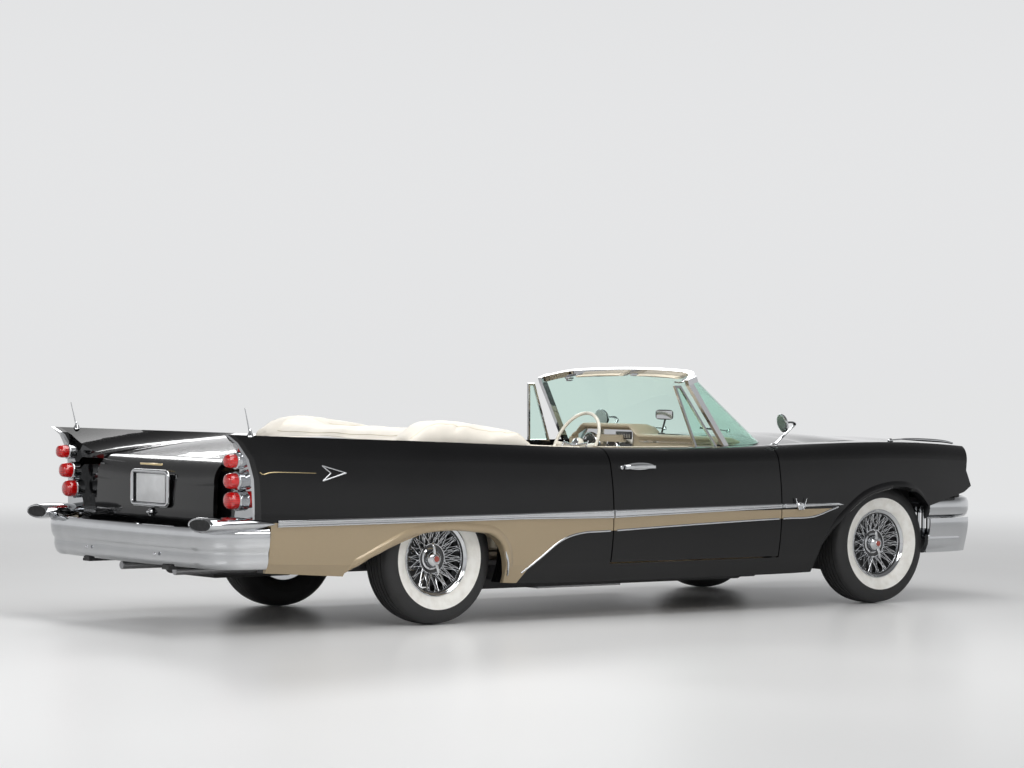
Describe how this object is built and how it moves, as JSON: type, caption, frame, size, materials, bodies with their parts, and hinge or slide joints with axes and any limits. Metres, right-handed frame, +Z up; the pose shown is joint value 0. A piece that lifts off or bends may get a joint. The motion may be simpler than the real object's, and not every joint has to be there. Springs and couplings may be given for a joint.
{
  "type": "1950s finned convertible car",
  "caption": "Two-door finned convertible with a folded top under a cream cover, wire wheels, lamp towers in the fins, chrome bumpers and a pale gold sweep on black.",
  "frame": {"origin": "on the ground, under the middle of the car's box", "axes": "+Z up, the nose points along -Y, the driver's left is +X"},
  "size_m": [2.0054, 5.6128, 1.3904],
  "materials": {
    "black_paint": "gloss black body paint, with a pale gold sweep low on the sides",
    "chrome": "bright plating",
    "glass": "green tinted glass",
    "lamp_glass": "clear lamp glass",
    "red_lens": "red lamp lens",
    "cream_leather": "cream hide, stitched in panels",
    "cover_cloth": "cream cover cloth",
    "beige_paint": "beige dashboard paint and padding",
    "cream_plastic": "cream steering wheel",
    "chassis_black": "satin black chassis paint",
    "carpet": "brown carpet over steel",
    "cast_iron": "cast iron",
    "steel": "bare steel",
    "tyre": "black tyre with a broad white side"
  },
  "bodies": {
    "body": {"body_trims": "chrome", "cowl": "black_paint", "dashboard": "beige_paint", "engine": "cast_iron", "exhaust": "steel", "floor": "carpet", "frame": "chassis_black", "front_bumper": "chrome", "front_seat": "cream_leather", "front_suspension": "chassis_black", "front_wings": "black_paint", "fuel_tank": "chassis_black", "grille": "chrome", "headlamp_bezels": "chrome", "headlamps": "lamp_glass", "inner_wings": "chassis_black", "nose_panel": "black_paint", "radiator": "chassis_black", "rear_axle": "cast_iron", "rear_bumper": "chrome", "rear_deck": "black_paint", "rear_quarters": "black_paint", "rear_seat": "cream_leather", "rear_side_trims": "cream_leather", "sills": "black_paint", "steering_column": "chassis_black", "tail_lamp_towers": "chrome", "tail_lamps": "red_lens", "tail_panel": "black_paint", "top_cover": "cover_cloth", "windscreen_frame": "chrome", "windscreen_glass": "glass", "wing_fittings": "chrome"},
    "bonnet": {"bonnet": "black_paint"},
    "boot_lid": {"boot_lid": "black_paint", "plate_holder": "chrome"},
    "door_left": {"door_left": "black_paint", "door_fittings_left": "chrome", "vent_frame_left": "chrome", "vent_glass_left": "glass"},
    "door_right": {"door_right": "black_paint", "door_fittings_right": "chrome", "vent_frame_right": "chrome", "vent_glass_right": "glass"},
    "knuckle_left": {"knuckle_left": "cast_iron"},
    "knuckle_right": {"knuckle_right": "cast_iron"},
    "wheel_front_left": {"wheel_front_left": "chrome", "tyre_front_left": "tyre"},
    "wheel_front_right": {"wheel_front_right": "chrome", "tyre_front_right": "tyre"},
    "wheel_rear_left": {"wheel_rear_left": "chrome", "tyre_rear_left": "tyre"},
    "wheel_rear_right": {"wheel_rear_right": "chrome", "tyre_rear_right": "tyre"},
    "steering_wheel": {"steering_wheel": "cream_plastic"}
  },
  "joints": [
    {"name": "bonnet_hinge", "type": "hinge", "parent": "body", "child": "bonnet", "pos_m": [0, -1.3885, 0.99], "axis": [-1, 0, 0], "range_deg": [0, 55]},
    {"name": "boot_hinge", "type": "hinge", "parent": "body", "child": "boot_lid", "pos_m": [0, 1.9015, 1.003], "axis": [1, 0, 0], "range_deg": [0, 60]},
    {"name": "door_left_hinge", "type": "hinge", "parent": "body", "child": "door_left", "pos_m": [0.97, -1.1185, 0.6], "axis": [0, 0, -1], "range_deg": [0, 65]},
    {"name": "door_right_hinge", "type": "hinge", "parent": "body", "child": "door_right", "pos_m": [-0.97, -1.1185, 0.6], "axis": [0, 0, 1], "range_deg": [0, 65]},
    {"name": "steer_left", "type": "hinge", "parent": "body", "child": "knuckle_left", "pos_m": [0.645, -1.8985, 0.36], "axis": [0, 0, 1], "range_deg": [-30, 30]},
    {"name": "steer_right", "type": "hinge", "parent": "body", "child": "knuckle_right", "pos_m": [-0.645, -1.8985, 0.36], "axis": [0, 0, 1], "range_deg": [-30, 30]},
    {"name": "steering_wheel_turn", "type": "hinge", "parent": "body", "child": "steering_wheel", "pos_m": [0.385, -0.5785, 0.93], "axis": [0, 0.9063, 0.4226], "range_deg": [-540, 540]},
    {"name": "front_left_spin", "type": "hinge", "parent": "knuckle_left", "child": "wheel_front_left", "pos_m": [0.7745, -1.8985, 0.355], "axis": [1, 0, 0], "continuous": true},
    {"name": "front_right_spin", "type": "hinge", "parent": "knuckle_right", "child": "wheel_front_right", "pos_m": [-0.7745, -1.8985, 0.355], "axis": [1, 0, 0], "continuous": true},
    {"name": "rear_left_spin", "type": "hinge", "parent": "body", "child": "wheel_rear_left", "pos_m": [0.758, 1.3015, 0.355], "axis": [1, 0, 0], "continuous": true},
    {"name": "rear_right_spin", "type": "hinge", "parent": "body", "child": "wheel_rear_right", "pos_m": [-0.758, 1.3015, 0.355], "axis": [1, 0, 0], "continuous": true}
  ],
  "couplings": [
    {"joint": "steer_right", "follows": "steer_left", "ratio": 1},
    {"joint": "steering_wheel_turn", "follows": "steer_left", "ratio": 18}
  ]
}
